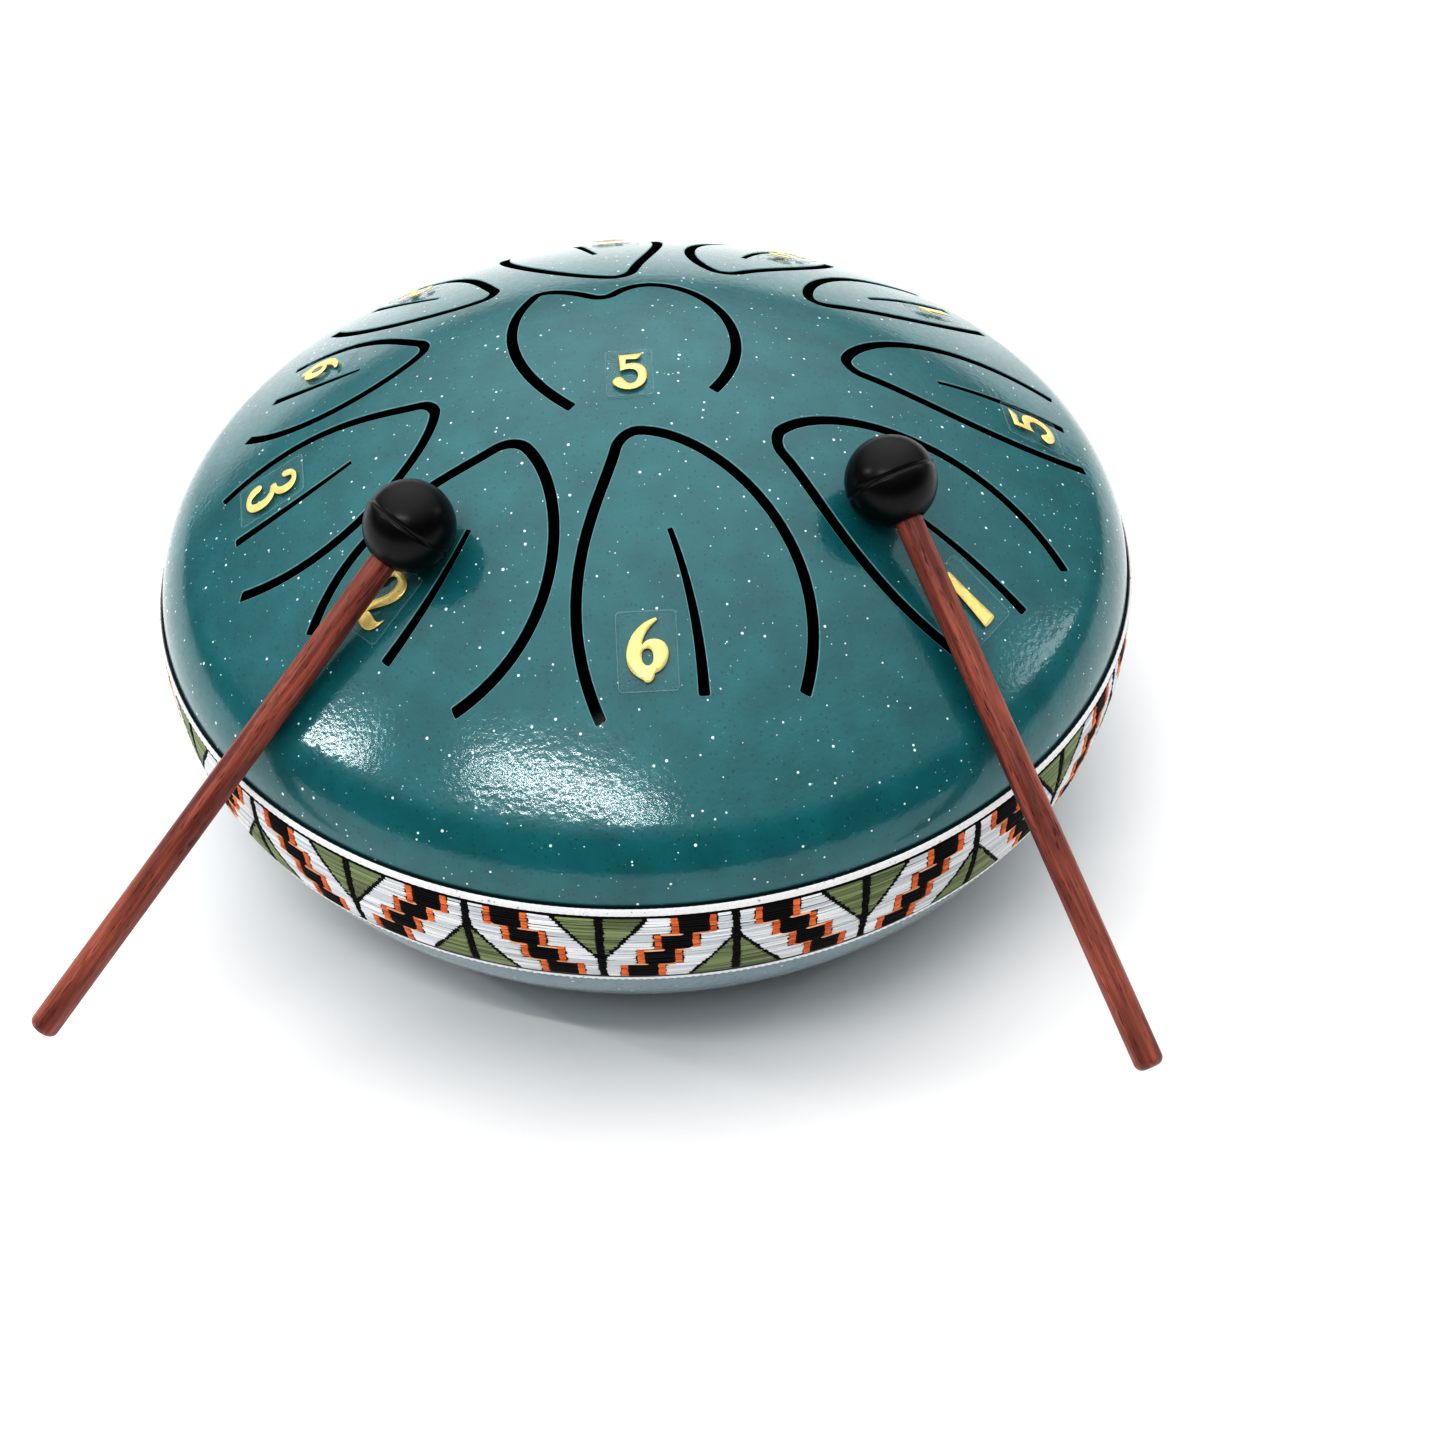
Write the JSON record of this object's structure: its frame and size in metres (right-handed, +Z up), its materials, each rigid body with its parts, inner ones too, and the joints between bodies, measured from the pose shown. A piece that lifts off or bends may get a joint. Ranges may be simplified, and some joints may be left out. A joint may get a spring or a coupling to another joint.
{
  "type": "steel tongue drum",
  "caption": "Round hand drum of two welded steel shells, its domed top cut into leaf-shaped sounding tongues, with a woven band, rubber feet and two mallets lying on it.",
  "frame": {"origin": "on the drum's axis, in the plane that its rubber feet stand on", "axes": "+Z up along the drum's axis; -Y towards the player, where the root of the middle tongue is; +X to the player's right"},
  "size_m": [0.1736, 0.1735, 0.0878],
  "materials": {
    "teal_paint": "satin paint with fine white speckles",
    "slate_paint": "satin paint",
    "weld_steel": "ground weld",
    "woven_cloth": "jacquard-woven band",
    "white_cord": "corded edge",
    "gold_foil": "foil numbers on clear film",
    "foot_rubber": "matt",
    "ball_rubber": "satin",
    "red_wood": "stained and lacquered"
  },
  "bodies": {
    "drum": {"top_shell": "teal_paint", "bottom_shell": "slate_paint", "seam_weld": "weld_steel", "woven_ribbon": "woven_cloth", "upper_piping": "white_cord", "lower_piping": "white_cord", "note_sticker_centre": "gold_foil", "note_sticker_1": "gold_foil", "note_sticker_2": "gold_foil", "note_sticker_3": "gold_foil", "note_sticker_4": "gold_foil", "note_sticker_5": "gold_foil", "note_sticker_6": "gold_foil", "note_sticker_7": "gold_foil", "note_sticker_8": "gold_foil", "note_sticker_9": "gold_foil", "note_sticker_10": "gold_foil", "rubber_foot_1": "foot_rubber", "rubber_foot_2": "foot_rubber", "rubber_foot_3": "foot_rubber", "rubber_foot_4": "foot_rubber"},
    "mallet_left": {"mallet_left_ball": "ball_rubber", "mallet_left_stick": "red_wood"},
    "mallet_right": {"mallet_right_ball": "ball_rubber", "mallet_right_stick": "red_wood"}
  },
  "joints": [
    {"name": "mallet_left_lift", "type": "slide", "parent": "drum", "child": "mallet_left", "axis": [0, 0, 1], "range_m": [0, 0.1]},
    {"name": "mallet_right_lift", "type": "slide", "parent": "drum", "child": "mallet_right", "axis": [0, 0, 1], "range_m": [0, 0.1]}
  ]
}
